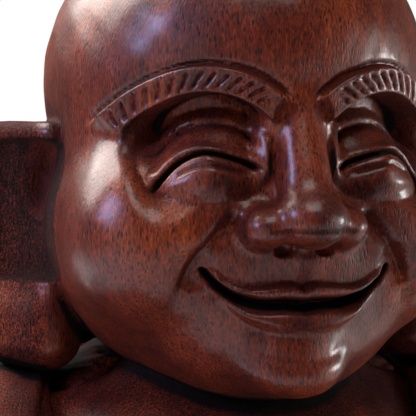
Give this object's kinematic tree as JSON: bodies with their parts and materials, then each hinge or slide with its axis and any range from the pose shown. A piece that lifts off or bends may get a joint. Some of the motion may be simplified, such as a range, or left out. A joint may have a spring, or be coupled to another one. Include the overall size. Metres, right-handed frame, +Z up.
{
  "type": "seated laughing figure",
  "caption": "Carved hardwood figurine of a seated, softly smiling, bald monk with long ears, an open robe over a round belly and hands on the knees.",
  "frame": {"origin": "middle of the figure's box, on the flat underside", "axes": "+Z up along the figure's height, -Y the way it faces, +X towards its own left hand"},
  "size_m": [0.2382, 0.1714, 0.2649],
  "materials": {
    "hardwood": "polished dark red hardwood, satin to gloss"
  },
  "bodies": {
    "root": {"statue": "hardwood"}
  },
  "joints": []
}
